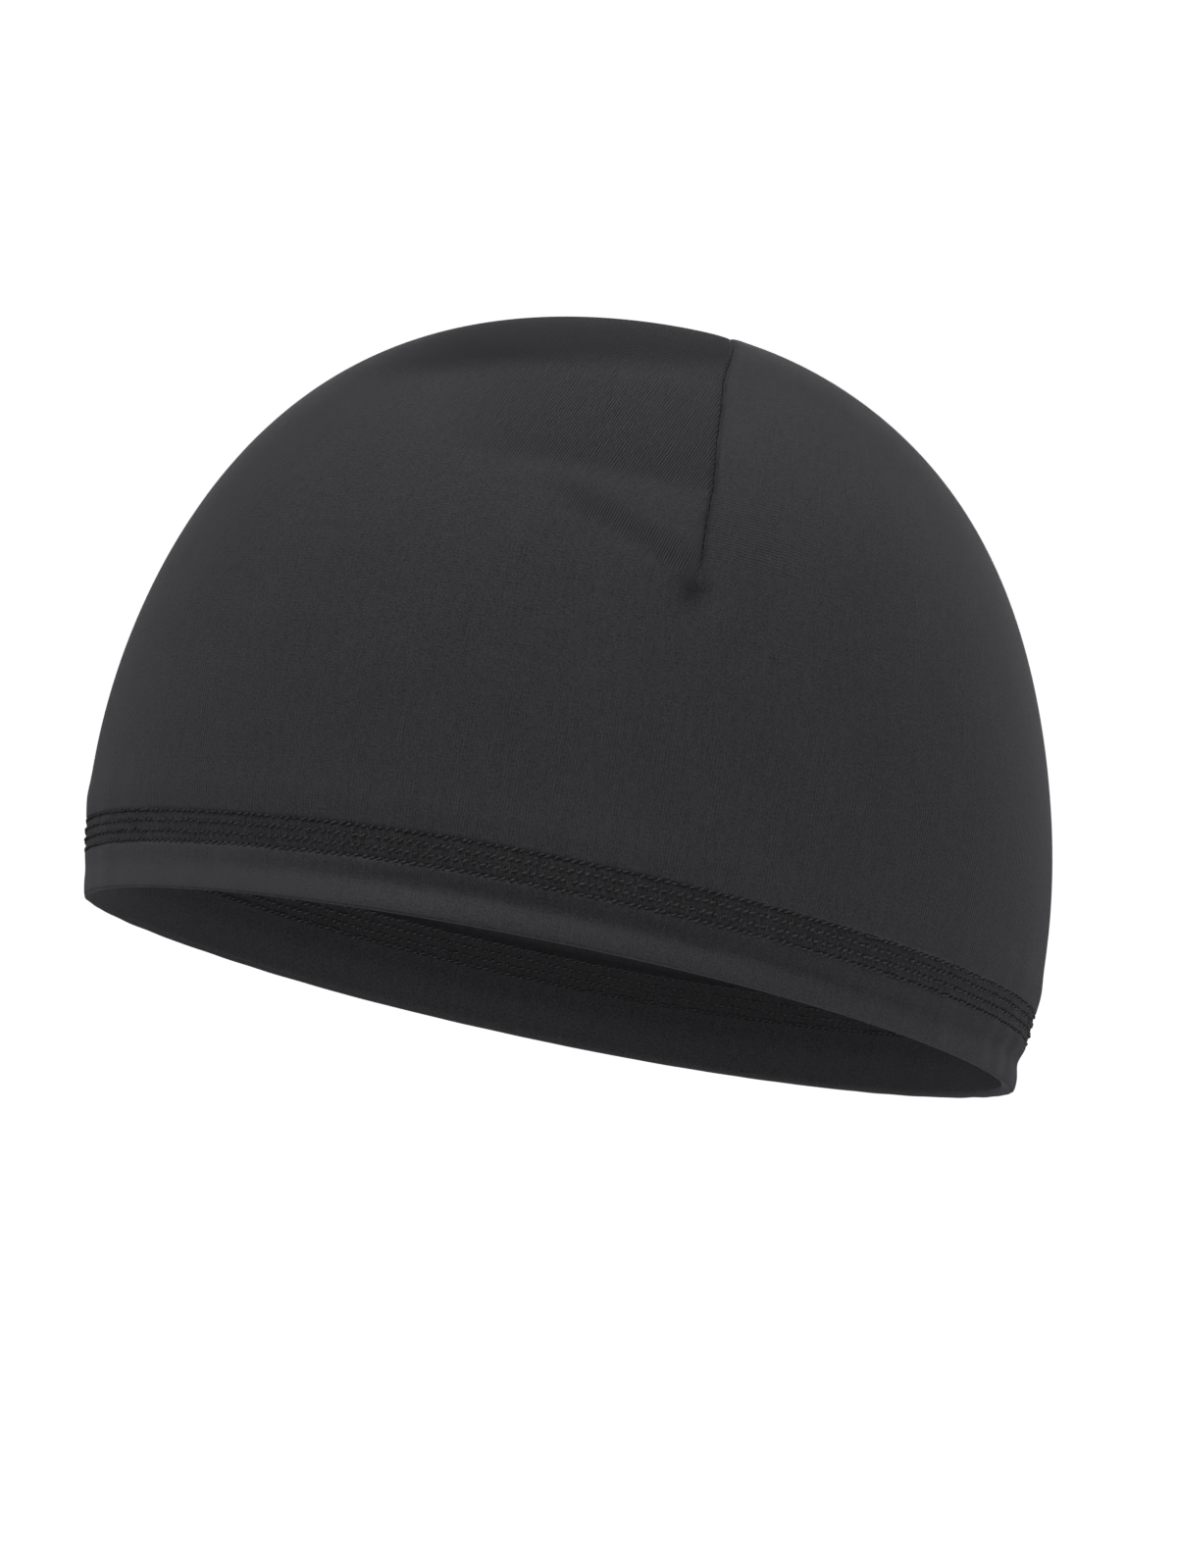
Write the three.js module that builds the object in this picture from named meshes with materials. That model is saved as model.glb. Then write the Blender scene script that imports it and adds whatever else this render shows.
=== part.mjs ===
// A close-fitting skull cap of thin stretch knit, in the form it takes when it is worn.
// The crown is one piece of cloth, shaped by a dart that runs from ear to ear over its top.
// Below it are a flat overlocked seam and a folded hem.
// Units are millimetres. +Z is up, the brow faces -Y, the nape +Y and the wearer's left is +X.
// The origin is the centre of the head opening, in the plane of the hem's lower edge.

import * as THREE from "three";
import { mergeVertices } from "three/addons/utils/BufferGeometryUtils.js";

// Outer size of the cap, in its own frame with the opening flat
const capHeight = 142;
const browReach = 105;
const napeReach = 95;
const halfWidth = 76;
const dartSetback = 4;

// How the cap sits on a head: the opening is higher at the brow than at the nape
const openingTilt = 11.5;

// Cloth, hem and seam
const clothWall = 1.0;
const hemHeight = 10.2;
const hemWall = 2.0;
const hemPuff = 0.5;
const seamWidth = 5.6;
const seamWall = 1.8;
const seamSink = 0.2;
const pieceGap = 0.3;

// The dart: a crease outside and a standing overlocked strip inside
const dartDrop = 67;
const dartSwing = 3.7;
const creaseDepth = 0.8;
const creaseReach = 4;
const creaseFade = 16;
const dimpleDepth = 1.0;
const dimpleReach = 7;
const stripThickness = 1.6;
const stripDepth = 3.2;
const stripTaper = 14;

// The opening is a pointed oval that turns into a plain one higher up
const browPoint = 0.1;
const napePoint = 0.14;
const tipRounding = 0.12;
const ovalHeight = 60;

// Facets
const evenColumns = 64;
const crownRows = 17;
const tipRows = [-1.1, -0.5, 0, 0.6];
const hemSideSteps = 3;
const foldSteps = 6;
const creaseColumns = [1.2, 2.8];

// How far the crown stands out beyond a quarter ellipse, as shares of each reach.
// The rows are evenly spaced over the quarter turn from the opening up to the top.
const fullness = [
  { brow: 0.954, nape: 0.982, side: 0.975 },
  { brow: 1.014, nape: 1.025, side: 1.012 },
  { brow: 1.059, nape: 1.045, side: 1.075 },
  { brow: 1.111, nape: 1.064, side: 1.16 },
  { brow: 1.166, nape: 1.09, side: 1.23 },
  { brow: 1.228, nape: 1.124, side: 1.28 },
  { brow: 1.303, nape: 1.137, side: 1.31 },
  { brow: 1.367, nape: 1.145, side: 1.325 },
  { brow: 1.42, nape: 1.155, side: 1.33 },
];

const quarterTurn = Math.PI / 2;
const swingAngle = THREE.MathUtils.degToRad(dartSwing);

// Smooth value of one column of the fullness table at a level from 0 to a quarter turn
function fullnessAt(column, level) {
  const last = fullness.length - 1;
  const place = THREE.MathUtils.clamp(level / quarterTurn, 0, 1) * last;
  const index = Math.min(Math.floor(place), last - 1);
  const t = place - index;
  const value = (row) => fullness[row][column];
  const here = value(index);
  const next = value(index + 1);
  const before = index > 0 ? value(index - 1) : 2 * here - next;
  const after = index + 2 <= last ? value(index + 2) : 2 * next - here;
  const linear = next - before;
  const square = 2 * before - 5 * here + 4 * next - after;
  const cubic = 3 * here - before - 3 * next + after;
  return here + 0.5 * t * (linear + t * (square + t * cubic));
}

// Level of a place that lies this high over the opening
function levelAt(height) {
  return Math.asin(THREE.MathUtils.clamp(height / capHeight, 0, 1));
}

// Point of the cap's outer surface, for a level and a turn round the cap (0 is the wearer's left)
function surfacePoint(level, turn) {
  const angle = turn + swingAngle * Math.cos(turn);
  const sideways = Math.cos(angle);
  const lengthways = Math.sin(angle);
  const ring = Math.cos(level);
  const height = capHeight * Math.sin(level);
  const atNape = lengthways > 0;
  const reach = atNape ? napeReach : browReach;
  const column = atNape ? "nape" : "brow";
  const fade = Math.max(0, 1 - height / ovalHeight) ** 2;
  const point = (atNape ? napePoint : browPoint) * fade;
  const roundedSquare = tipRounding * tipRounding;
  const narrowing = ((sideways ** 2 + roundedSquare) / (1 + roundedSquare)) ** point;
  return new THREE.Vector3(
    halfWidth * fullnessAt("side", level) * ring * sideways * narrowing,
    dartSetback + reach * fullnessAt(column, level) * ring * lengthways,
    height,
  );
}

// Outward direction of the outer surface
function surfaceNormal(level, turn) {
  const step = 0.004;
  if (level > quarterTurn - step) {
    return new THREE.Vector3(0, 0, 1);
  }
  const round = surfacePoint(level, turn + step).sub(surfacePoint(level, turn - step));
  const up = surfacePoint(level + step, turn).sub(surfacePoint(level - step, turn));
  return round.cross(up).normalize();
}

// How deep the crease and the dimple at its end press the cloth in
function dartSink(level, turn) {
  const spot = surfacePoint(level, turn);
  const line = surfacePoint(level, Math.cos(turn) >= 0 ? 0 : Math.PI);
  const aside = Math.abs(spot.y - line.y);
  const overTip = spot.z - tipHeight;
  const along = THREE.MathUtils.smoothstep(overTip, 0, creaseFade);
  const across = Math.max(0, 1 - aside / creaseReach) ** 1.5;
  const fromTip = Math.hypot(aside, overTip + dimpleReach / 2) / dimpleReach;
  return creaseDepth * along * across + dimpleDepth * Math.exp(-2 * fromTip ** 2);
}

// Point that lies this far out from the outer surface
function offsetPoint(level, turn, out) {
  const away = surfaceNormal(level, turn).multiplyScalar(out);
  return surfacePoint(level, turn).add(away);
}

// Turns of the columns: even ones, with closer ones on both sides of the dart
function columnTurns() {
  const turns = [];
  for (let i = 0; i < evenColumns; i++) {
    turns.push((2 * Math.PI * i) / evenColumns);
  }
  for (const aside of creaseColumns) {
    const turn = aside / halfWidth;
    turns.push(turn, Math.PI - turn, Math.PI + turn, 2 * Math.PI - turn);
  }
  return turns.sort((a, b) => a - b);
}

// Closed geometry over rows of points, where every row closes on itself
function skin(rows, rowsClose) {
  const positions = rows.flat().flatMap((p) => [p.x, p.y, p.z]);
  const width = rows[0].length;
  const bands = rowsClose ? rows.length : rows.length - 1;
  const corners = [];
  for (let i = 0; i < bands; i++) {
    for (let j = 0; j < width; j++) {
      const next = (j + 1) % width;
      const above = (i + 1) % rows.length;
      const a = i * width + j;
      const b = i * width + next;
      const c = above * width + next;
      const d = above * width + j;
      corners.push(a, b, c, a, c, d);
    }
  }
  const geometry = new THREE.BufferGeometry();
  geometry.setAttribute("position", new THREE.Float32BufferAttribute(positions, 3));
  geometry.setIndex(corners);
  return withoutSlivers(mergeVertices(geometry, 1e-3));
}

// The same geometry without the triangles that merging has flattened to a line
function withoutSlivers(geometry) {
  const corners = [];
  for (let i = 0; i < geometry.index.count; i += 3) {
    const [a, b, c] = [0, 1, 2].map((k) => geometry.index.getX(i + k));
    if (a !== b && b !== c && c !== a) {
      corners.push(a, b, c);
    }
  }
  geometry.setIndex(corners);
  geometry.computeVertexNormals();
  return geometry;
}

const turns = columnTurns();
const seamBottom = hemHeight + pieceGap;
const seamTop = seamBottom + seamWidth;
const crownBottom = seamTop + pieceGap;
const tipHeight = capHeight - dartDrop;

// Levels of the crown's rows: even ones, with closer ones where the dart ends
function crownLevels() {
  const lowest = levelAt(crownBottom);
  const levels = [];
  for (let i = 0; i <= crownRows; i++) {
    levels.push(lowest + ((quarterTurn - lowest) * i) / crownRows);
  }
  for (const share of tipRows) {
    levels.push(levelAt(tipHeight + share * dimpleReach));
  }
  return levels.sort((a, b) => a - b);
}

// Crown: one wall of cloth from the seam up to the top, creased along the dart
function crownGeometry() {
  const levels = crownLevels();
  const face = (level, depth) =>
    turns.map((turn) => offsetPoint(level, turn, -depth - dartSink(level, turn)));
  const outside = levels.map((level) => face(level, 0));
  const inside = levels.map((level) => face(level, clothWall));
  return skin([...inside.reverse(), ...outside], false);
}

// Ring that follows the cap's wall, from a section of points, each so high up and so far out
function ringGeometry(section) {
  const rows = section.map(({ up, out }) =>
    turns.map((turn) => offsetPoint(levelAt(up), turn, out)),
  );
  return skin(rows, true);
}

// Section of the seam: a flat band with eased edges, a little lower than the cloth beside it
function seamSection() {
  const ease = seamWall / 4;
  return [
    { up: seamBottom + ease, out: -seamSink },
    { up: seamTop - ease, out: -seamSink },
    { up: seamTop, out: -seamSink - ease },
    { up: seamTop, out: -seamSink - seamWall + ease },
    { up: seamTop - ease, out: -seamSink - seamWall },
    { up: seamBottom + ease, out: -seamSink - seamWall },
    { up: seamBottom, out: -seamSink - seamWall + ease },
    { up: seamBottom, out: -seamSink - ease },
  ];
}

// Section of the hem: up the puffed outer face, down the inner one and round the fold
function hemSection() {
  const foldRadius = hemWall / 2;
  const faceHeight = hemHeight - foldRadius;
  const section = [];
  for (let i = 0; i <= hemSideSteps; i++) {
    const share = i / hemSideSteps;
    const puff = hemPuff * Math.sin(Math.PI * share);
    section.push({ up: foldRadius + faceHeight * share, out: puff });
  }
  for (let i = 0; i <= hemSideSteps; i++) {
    const share = 1 - i / hemSideSteps;
    section.push({ up: foldRadius + faceHeight * share, out: -hemWall });
  }
  for (let i = 1; i < foldSteps; i++) {
    const turn = (Math.PI * i) / foldSteps;
    section.push({
      up: foldRadius * (1 - Math.sin(turn)),
      out: foldRadius * (-1 - Math.cos(turn)),
    });
  }
  return section;
}

// Dart strip: the overlocked edges of the cloth, standing inwards along the crease
function stripGeometry() {
  const tipLevel = levelAt(tipHeight);
  const levels = crownLevels().filter((level) => level > tipLevel);
  const leftSide = levels.map((level) => stripRing(level, 0));
  const rightSide = levels.slice(0, -1).map((level) => stripRing(level, Math.PI));
  const rows = [...leftSide, ...rightSide.reverse()];
  const first = rows[0].map(() => centreOf(rows[0]));
  const last = rows[0].map(() => centreOf(rows[rows.length - 1]));
  return skin([first, ...rows, last], false);
}

// One ring of the dart strip, which grows from nothing at the dart's ends
function stripRing(level, turn) {
  const overTip = capHeight * Math.sin(level) - tipHeight;
  const growth = THREE.MathUtils.clamp(overTip / stripTaper, 0.25, 1);
  const top = -dartSink(level, turn) - clothWall - pieceGap;
  const half = stripThickness / 2;
  const shape = [
    { aside: -half, out: top - half / 2 },
    { aside: -half / 2, out: top },
    { aside: half / 2, out: top },
    { aside: half, out: top - half / 2 },
    { aside: half, out: top - stripDepth * growth },
    { aside: -half, out: top - stripDepth * growth },
  ];
  return shape.map(({ aside, out }) => {
    const spot = offsetPoint(level, turn, out);
    spot.y += aside;
    return spot;
  });
}

// Mean of some points
function centreOf(points) {
  const sum = points.reduce((total, p) => total.add(p), new THREE.Vector3());
  return sum.divideScalar(points.length);
}

// Matt near-black knit
function cloth(color, roughness) {
  return new THREE.MeshStandardMaterial({ color, roughness, metalness: 0 });
}

function piece(name, geometry, material) {
  const mesh = new THREE.Mesh(geometry, material);
  mesh.name = name;
  return mesh;
}

const cap = new THREE.Group();
cap.rotation.x = -THREE.MathUtils.degToRad(openingTilt);
cap.add(piece("crown", crownGeometry(), cloth(0x3b3a3e, 0.85)));
cap.add(piece("dart_strip", stripGeometry(), cloth(0x2a292c, 0.9)));
cap.add(piece("overlocked_seam", ringGeometry(seamSection()), cloth(0x2c2b2f, 0.9)));
cap.add(piece("hem", ringGeometry(hemSection()), cloth(0x39383c, 0.85)));

const part = new THREE.Group();
part.add(cap);

export default part;
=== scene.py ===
"""A black stretch-knit skull cap in the form it takes on a head.

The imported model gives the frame. This script adds the cloth, its seam, hem and dart, every stitch,
the studio and the camera. Shapes are worked out in millimetres in the cap's own frame, where the
head opening lies flat, and are tilted and turned into metres when a mesh is made.
"""

import math

import bmesh
import bpy
import numpy as np
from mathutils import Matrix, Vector


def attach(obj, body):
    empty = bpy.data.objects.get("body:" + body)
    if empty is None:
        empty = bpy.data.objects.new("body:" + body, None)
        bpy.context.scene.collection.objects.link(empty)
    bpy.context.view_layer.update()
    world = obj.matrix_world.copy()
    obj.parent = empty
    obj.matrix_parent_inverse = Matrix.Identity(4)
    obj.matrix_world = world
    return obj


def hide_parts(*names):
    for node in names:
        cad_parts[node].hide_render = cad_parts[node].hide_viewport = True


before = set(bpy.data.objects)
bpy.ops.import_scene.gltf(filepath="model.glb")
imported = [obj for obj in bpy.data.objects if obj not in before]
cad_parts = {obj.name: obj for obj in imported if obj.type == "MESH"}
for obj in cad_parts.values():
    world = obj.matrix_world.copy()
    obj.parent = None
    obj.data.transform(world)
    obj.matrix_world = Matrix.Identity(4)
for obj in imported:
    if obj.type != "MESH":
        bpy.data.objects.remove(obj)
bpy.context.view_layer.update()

METRES = 0.001
BODY = "root"

# Outer size of the cap in millimetres, as in the part
CAP_HEIGHT = 142.0
BROW_REACH = 105.0
NAPE_REACH = 95.0
HALF_WIDTH = 76.0
DART_SETBACK = 4.0
OPENING_TILT = math.radians(11.5)
HEM_HEIGHT = 10.2
HEM_WALL = 2.0
SEAM_WIDTH = 5.6
SEAM_WALL = 1.8
SEAM_SINK = 0.2
CLOTH_WALL = 1.0
PIECE_GAP = 0.3

# The cloth pieces meet at two joints, each in a groove under a row of stitches
LOWER_JOINT = HEM_HEIGHT + PIECE_GAP / 2
UPPER_JOINT = LOWER_JOINT + SEAM_WIDTH + PIECE_GAP
JOINT_SLIT = 0.02
JOINT_GROOVE = 0.28
WELD_DISTANCE = 0.0005
SEAM_INSIDE = SEAM_SINK + SEAM_WALL
FAR_HEM_RISE = 2.6
BROW_HEM_DROP = 1.0

# The dart, a crease from one side over the top to the other
DART_DROP = 67.0
DART_SWING = math.radians(3.7)
TIP_HEIGHT = CAP_HEIGHT - DART_DROP
DART_BEND = 3.4
BEND_START = 116.0
BEND_FADE = 14.0
BEND_SPREAD = 0.6
SMALLEST_RADIUS = 1e-3

# The opening is a pointed oval that turns into a plain one higher up
BROW_POINT = 0.1
NAPE_POINT = 0.14
TIP_ROUNDING = 0.12
OVAL_HEIGHT = 60.0

# How far the crown stands out beyond a quarter ellipse, as shares of each reach.
# The rows are evenly spaced over the quarter turn from the opening up to the top.
FULLNESS = {
    "brow": (0.954, 1.014, 1.059, 1.111, 1.166, 1.228, 1.303, 1.367, 1.42),
    "nape": (0.982, 1.025, 1.045, 1.064, 1.09, 1.124, 1.137, 1.145, 1.155),
    "side": (0.975, 1.012, 1.075, 1.16, 1.23, 1.28, 1.31, 1.325, 1.33),
}
SMOOTHING_DEGREE = 6

# How much paler the cloth's inner side is than its outer one, partly the knit's paler back and partly
# painted fill light, and the doubled hem than the crown. Then painted light and shade: paler on the hem's
# brow side, a painted highlight at its fold, painted shade in its valley, under its fold and high in front
# of the dart
INSIDE_PALENESS_AND_FILL_LIGHT = 0.5
SEAM_INSIDE_PALENESS_AND_FILL_LIGHT = 0.8
HEM_PALENESS = -0.1
# Painted light on the hem's brow side, which faces the light
BROW_PAINTED_LIGHT = 1.05
# Painted highlight towards the hem's fold, then painted shade in its valley
FOLD_PAINTED_HIGHLIGHT = 0.25
VALLEY_PAINTED_SHADE = 0.5
# Painted shade under the hem's fold
UNDERSIDE_PAINTED_SHADE = 0.9
# Painted shade high in front of the dart: how much it darkens the tone, and how much it adds to the crease
# mask
TOP_SHADE_DARKNESS = 1.2
TOP_SHADE_IN_CREASE = 0.85

# The knit
WALE_PITCH = 0.565
COURSE_PITCH = 0.62
LOW_RIB_LEAN = math.radians(17.5)
HIGH_RIB_LEAN = math.radians(7.1)
HIGH_RIB_START = 12.0

# On the brow side the wales turn from the dart's direction to the middle line's, this far from the dart
TURNING_RIBS = (45, 100)

# The camera: where it looks, from where, and through what lens
LOOK_AT = (0.0, 8.9, 44.2)
CAMERA_AZIMUTH = math.radians(85.4)
CAMERA_ELEVATION = math.radians(-9.6)
CAMERA_DISTANCE = 1035.0
CAMERA_LENS = 115.0


def fitted(column):
    """A smooth curve through one column of the fullness table, over levels from 0 to 1."""
    rows = np.linspace(0.0, 1.0, len(FULLNESS[column]))
    return np.polynomial.Polynomial.fit(rows, FULLNESS[column], SMOOTHING_DEGREE)


CURVES = {column: fitted(column) for column in FULLNESS}


def level_at(height):
    """The level, from 0 at the opening to a quarter turn at the top, of a height."""
    return np.arcsin(np.clip(np.asarray(height, float) / CAP_HEIGHT, 0.0, 1.0))


def surface(level, turn):
    """Points of the cap's smooth outer surface. Turn 0 is the wearer's left, a quarter turn the nape."""
    level, turn = np.broadcast_arrays(np.asarray(level, float), np.asarray(turn, float))
    angle = turn + DART_SWING * np.cos(turn)
    sideways, lengthways = np.cos(angle), np.sin(angle)
    ring = np.cos(level)
    height = CAP_HEIGHT * np.sin(level)
    share = level / (math.pi / 2)
    at_nape = lengthways > 0
    reach = np.where(at_nape, NAPE_REACH * CURVES["nape"](share), BROW_REACH * CURVES["brow"](share))
    fade = np.clip(1 - height / OVAL_HEIGHT, 0, None) ** 2
    point = np.where(at_nape, NAPE_POINT, BROW_POINT) * fade
    rounding = TIP_ROUNDING**2
    narrowing = ((sideways**2 + rounding) / (1 + rounding)) ** point
    x = HALF_WIDTH * CURVES["side"](share) * ring * sideways * narrowing
    y = DART_SETBACK + reach * ring * lengthways
    return np.stack([x, y, height], axis=-1)


def normals(level, turn):
    """Outward directions of the smooth outer surface."""
    step, tiny = 0.004, 1e-9
    level = np.minimum(level, math.pi / 2 - step)
    around = surface(level, turn + step) - surface(level, turn - step)
    upward = surface(level + step, turn) - surface(level - step, turn)
    out = np.cross(around, upward)
    length = np.linalg.norm(out, axis=-1, keepdims=True)
    return np.where(length > tiny, out / np.maximum(length, tiny), (0.0, 0.0, 1.0))


def offset(level, turn, out):
    """Points that lie this far out from the smooth outer surface."""
    return surface(level, turn) + normals(level, turn) * np.asarray(out)[..., None]


def lengths_along(points):
    """Lengths from the first point along each line of points, on the axis before the last."""
    steps = np.linalg.norm(np.diff(points, axis=-2), axis=-1)
    return np.concatenate([np.zeros((*steps.shape[:-1], 1)), np.cumsum(steps, axis=-1)], axis=-1)


def wavy(turn, seed, count, low, high):
    """A sum of seeded waves round the cap with between low and high periods, from about -1 to 1."""
    rng = np.random.default_rng(seed)
    total = np.zeros_like(np.asarray(turn, float))
    for _ in range(count):
        periods = rng.integers(low, high + 1)
        total = total + rng.normal() * np.sin(periods * turn + rng.uniform(0, 2 * math.pi))
    return total / math.sqrt(count)


def smoothstep(value, low, high):
    """A smooth rise from 0 at low to 1 at high."""
    t = np.clip((value - low) / (high - low), 0.0, 1.0)
    return t * t * (3 - 2 * t)


def hump(value, width):
    """A round hill of height 1 at 0."""
    return np.exp(-((value / width) ** 2))


def peak(value, width):
    """A sharp peak of height 1 at 0."""
    return np.exp(-np.abs(value) / width)


def to_world(points):
    """Points of the cap's frame in metres, tilted as the cap sits on a head."""
    cos, sin = math.cos(OPENING_TILT), math.sin(OPENING_TILT)
    x, y, z = points[..., 0], points[..., 1], points[..., 2]
    return np.stack([x, cos * y + sin * z, cos * z - sin * y], axis=-1) * METRES


def placed(name, data):
    """A new object in the scene."""
    made = bpy.data.objects.new(name, data)
    bpy.context.scene.collection.objects.link(made)
    return made


def weld(mesh):
    """Joins the points of a row that runs together into one, as at the top of the crown."""
    work = bmesh.new()
    work.from_mesh(mesh)
    bmesh.ops.remove_doubles(work, verts=work.verts, dist=WELD_DISTANCE * METRES)
    work.to_mesh(mesh)
    work.free()


def mesh_object(name, points, quads, uvs, attributes):
    """An object from points in the cap's frame, quads (-1 for no fourth corner), and corner UVs."""
    mesh = bpy.data.meshes.new(name)
    sizes = np.where(quads[:, 3] >= 0, 4, 3)
    starts = np.concatenate([[0], np.cumsum(sizes)[:-1]])
    used = quads >= 0
    corners = quads[used]
    mesh.vertices.add(len(points))
    mesh.vertices.foreach_set("co", to_world(points).astype(np.float32).ravel())
    mesh.loops.add(len(corners))
    mesh.loops.foreach_set("vertex_index", corners.astype(np.int32))
    mesh.polygons.add(len(quads))
    mesh.polygons.foreach_set("loop_start", starts.astype(np.int32))
    mesh.polygons.foreach_set("loop_total", sizes.astype(np.int32))
    layer = mesh.uv_layers.new(name="knit")
    layer.data.foreach_set("uv", uvs[used].astype(np.float32).ravel())
    for label, values in attributes.items():
        attribute = mesh.attributes.new(label, "FLOAT", "POINT")
        attribute.data.foreach_set("value", values.astype(np.float32))
    mesh.update()
    mesh.validate()
    weld(mesh)
    mesh.polygons.foreach_set("use_smooth", np.ones(len(mesh.polygons), bool))
    return placed(name, mesh)


def ring_object(name, rows, uvs, closed=False, attributes=None):
    """A skin over rows of points that each close on themselves. With closed, the last row meets the first.

    uvs has one more column than rows, for the far corner of the last face.
    """
    count, width = rows.shape[:2]
    bands = count if closed else count - 1
    i, j = np.meshgrid(np.arange(bands), np.arange(width), indexing="ij")
    i, j = i.ravel(), j.ravel()
    above, beside = (i + 1) % count, (j + 1) % width
    quads = np.stack([i * width + j, i * width + beside, above * width + beside, above * width + j], axis=1)
    corners = np.stack([uvs[i, j], uvs[i, j + 1], uvs[i + 1, j + 1], uvs[i + 1, j]], axis=1)
    flat = {label: values.ravel() for label, values in (attributes or {}).items()}
    return mesh_object(name, rows.reshape(-1, 3), quads, corners, flat)


# Columns of the crown: evenly round it, and crowded on each side of the dart within a reach
EVEN_COLUMNS = 240
DART_COLUMNS = 22
DART_COLUMN_REACH = 5.5
DART_CROWDING = 1.35
DART_CLEARANCE = 1.12

# Rows of the crown: how far over the seam the fine ones reach, and how far apart they are
GROOVE_ROWS_HEIGHT, GROOVE_ROW_STEP = 2.0, 0.25
ROLL_ROWS_HEIGHT, ROLL_ROW_STEP = 8.0, 0.6
PLAIN_ROW_STEP = 2.0
DART_ROWS_BELOW_TIP = 12.0
DART_ROW_COUNT = 160


def crown_turns():
    """Turns of the crown's columns, close together along the dart and even elsewhere."""
    base = np.linspace(0, 2 * math.pi, EVEN_COLUMNS, endpoint=False)
    share = np.linspace(0, 1, DART_COLUMNS + 1)[1:]
    near = (share**DART_CROWDING) * DART_COLUMN_REACH / HALF_WIDTH
    keep = np.abs(np.sin(base)) > math.sin(near[-1]) * DART_CLEARANCE
    spots = [base[keep]]
    for middle in (0.0, math.pi):
        spots.append(middle + np.concatenate([-near[::-1], [0.0], near]))
    return np.sort(np.mod(np.concatenate(spots), 2 * math.pi))


def crown_levels():
    """Levels of the crown's rows: close together above the seam and along the dart."""
    foot = UPPER_JOINT + JOINT_SLIT / 2
    groove_end = foot + GROOVE_ROWS_HEIGHT
    roll_end = foot + ROLL_ROWS_HEIGHT
    heights = [
        np.arange(foot, groove_end, GROOVE_ROW_STEP),
        np.arange(groove_end, roll_end, ROLL_ROW_STEP),
        np.arange(roll_end, TIP_HEIGHT - DART_ROWS_BELOW_TIP - 1, PLAIN_ROW_STEP),
    ]
    lower = level_at(np.concatenate(heights))
    upper = np.linspace(level_at(TIP_HEIGHT - DART_ROWS_BELOW_TIP), math.pi / 2, DART_ROW_COUNT)
    return np.concatenate([lower, upper])


def bent(level, turn):
    """Turns shifted near the top, where the dart bends.

    It bends to the nape on the wearer's left and to the brow on the right, so it crosses the top smoothly.
    """
    level, turn = np.broadcast_arrays(np.asarray(level, float), np.asarray(turn, float))
    height = CAP_HEIGHT * np.sin(level)
    radius = np.maximum(NAPE_REACH * np.cos(level), SMALLEST_RADIUS)
    near_top = 2 * smoothstep(radius, -BEND_FADE, BEND_FADE) - 1
    shift = DART_BEND * smoothstep(height, BEND_START, CAP_HEIGHT - 1) * near_top
    from_left = np.mod(turn + math.pi, 2 * math.pi) - math.pi
    from_right = np.mod(turn, 2 * math.pi) - math.pi
    near_dart = hump(from_left, BEND_SPREAD) + hump(from_right, BEND_SPREAD)
    return turn + shift / radius * near_dart


def dart_place(level, turn):
    """How far a place lies behind the dart's line, and how high over its tip."""
    spot = surface(level, turn)
    line = surface(level, bent(level, np.where(np.cos(turn) >= 0, 0.0, math.pi)))
    return spot[..., 1] - line[..., 1], spot[..., 2] - TIP_HEIGHT


# The dart's line wavers: the height of each wave, its length and where it starts
DART_WAVERS = ((0.05, 0.76, 0.0), (0.14, 3.12, 1.0))

# Depths and widths of the dart's crease, each at its low end and with what is added by the top
SLIT_DEPTH = (0.95, 0.2)
SLIT_WIDTH = (0.26, 0.1)
BROW_SIDE_DEPTH = (0.42, -0.2)
BROW_SIDE_WIDTH = (1.1, 1.2)
NAPE_SIDE_DEPTH = 0.42
NAPE_SIDE_WIDTH = 0.55
NAPE_SIDE_FADE = 0.55
NAPE_ROLL_HEIGHT, NAPE_ROLL_PLACE, NAPE_ROLL_WIDTH = 0.14, 1.7, 1.2
INNER_RIDGE_DEPTH, INNER_RIDGE_WIDTH = 0.85, 1.8
INNER_SLIT_DEPTH, INNER_SLIT_WIDTH = 0.5, 0.9

# The dimple under the dart's tip, steeper above its middle than below, and the painted shade of its dark
# spot; then the width of the painted shade along the dart's crease
DIMPLE_DEPTH, DIMPLE_WIDTH = 1.25, 2.7
DIMPLE_DROP = 2.4
DIMPLE_BEFORE = 0.6
DIMPLE_SQUEEZE = 0.9
DIMPLE_STEEPNESS = (0.55, 1.1)
DIMPLE_SHADE_STRENGTH, DIMPLE_SHADE_BEFORE, DIMPLE_SHADE_WIDTH = 0.6, 0.8, 3.0
CREASE_SHADE_WIDTH = (0.5, 0.5)


def grown(pair, high):
    """A value at the dart's low end with its share of what is added by the top."""
    return pair[0] + pair[1] * high


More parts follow.
